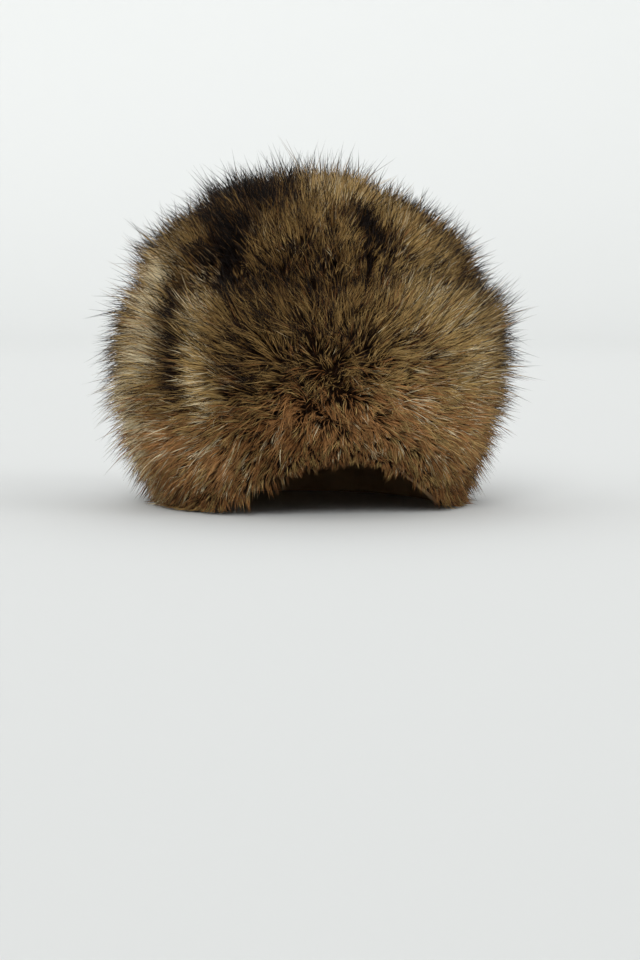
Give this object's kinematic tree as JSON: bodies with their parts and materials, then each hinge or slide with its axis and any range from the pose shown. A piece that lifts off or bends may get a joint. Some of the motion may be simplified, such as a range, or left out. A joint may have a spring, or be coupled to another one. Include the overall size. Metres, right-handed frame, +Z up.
{
  "type": "raccoon fur hat",
  "caption": "Deep fur toque with a domed crown, a wide fur band and a shallow arch in the rim over the brow.",
  "frame": {"origin": "on the surface that the rim rests on, under the middle of the hat's box", "axes": "+Z up through the crown, -Y towards the wearer's brow, +X towards the wearer's left"},
  "size_m": [0.2692, 0.292, 0.2152],
  "materials": {
    "pelt_leather": "flesh side of a dressed pelt, matt suede",
    "crown_fur": "raccoon fur, banded hair with dark tips",
    "band_fur": "raccoon fur, banded hair, warm brown at the rim"
  },
  "bodies": {
    "root": {"crown_body": "pelt_leather", "band_body": "pelt_leather", "crown_fur_centre": "crown_fur", "crown_fur_left": "crown_fur", "crown_fur_right": "crown_fur", "band_fur_front": "band_fur", "band_fur_back": "band_fur"}
  },
  "joints": []
}
